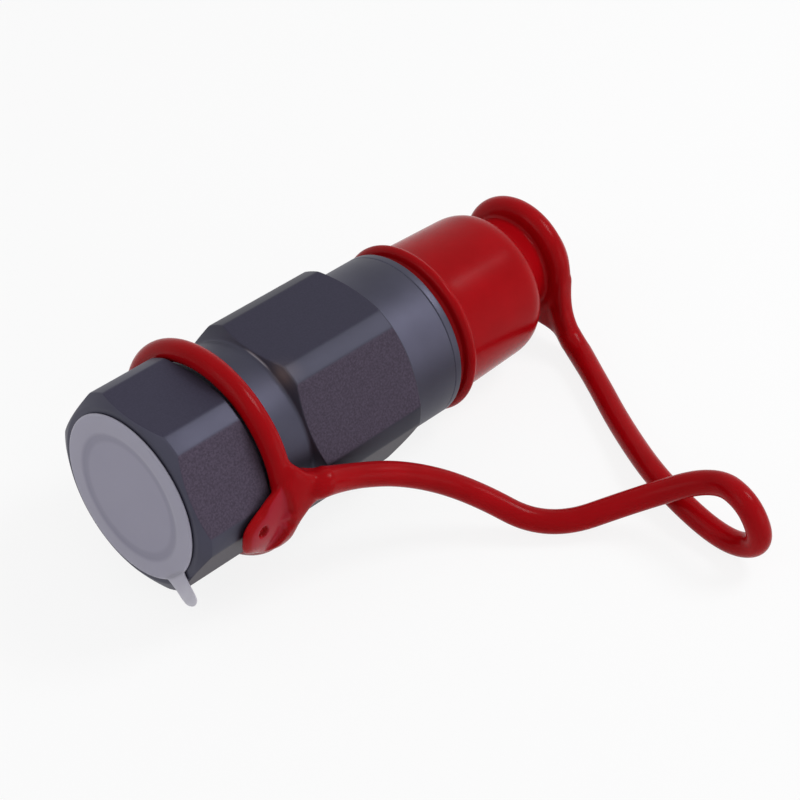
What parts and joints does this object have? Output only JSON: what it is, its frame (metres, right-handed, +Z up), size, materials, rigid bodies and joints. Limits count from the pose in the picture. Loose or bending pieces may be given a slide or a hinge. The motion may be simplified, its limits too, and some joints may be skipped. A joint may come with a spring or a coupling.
{
  "type": "flat face quick coupler",
  "caption": "Male half of a flat face hydraulic quick coupler with hexagon body, red dust cap, moulded cap tether and port plug.",
  "frame": {"origin": "centre of the rear port face", "axes": "+X along the coupler's axis from the port towards the nose, +Z up, square to a hexagon flat"},
  "size_m": [0.1076, 0.1027, 0.0436],
  "materials": {
    "plated_steel": "satin",
    "spring_steel": "satin",
    "red_pvc": "satin",
    "milky_plastic": "satin",
    "seal_rubber": "matte",
    "backup_plastic": "matte"
  },
  "bodies": {
    "coupler": {"coupler_body": "plated_steel", "nose_piece": "plated_steel", "nose_o_ring": "seal_rubber", "nose_backup_ring": "backup_plastic", "valve_guide": "plated_steel", "guide_retaining_ring": "spring_steel", "valve_spring": "spring_steel", "neck_ring": "red_pvc", "tether": "red_pvc"},
    "poppet": {"valve": "plated_steel", "valve_o_ring": "seal_rubber", "valve_backup_ring": "backup_plastic"},
    "plug": {"port_plug": "milky_plastic"},
    "tether_end": {"tether_eye": "red_pvc"},
    "cap": {"dust_cap": "red_pvc"}
  },
  "joints": [
    {"name": "valve_slide", "type": "slide", "parent": "coupler", "child": "poppet", "axis": [-1, 0, 0], "range_m": [0, 0.0075], "stiffness_N_per_m": 4000, "springref_m": -0.006, "deforming": ["valve_spring"]},
    {"name": "plug_pull", "type": "slide", "parent": "coupler", "child": "plug", "axis": [-1, 0, 0], "range_m": [0, 0.025]},
    {"name": "cap_pull", "type": "slide", "parent": "coupler", "child": "tether_end", "axis": [1, 0, 0], "range_m": [0, 0.03]},
    {"name": "cap_turn", "type": "hinge", "parent": "tether_end", "child": "cap", "pos_m": [0.1027, 0, 0], "axis": [1, 0, 0], "continuous": true}
  ]
}
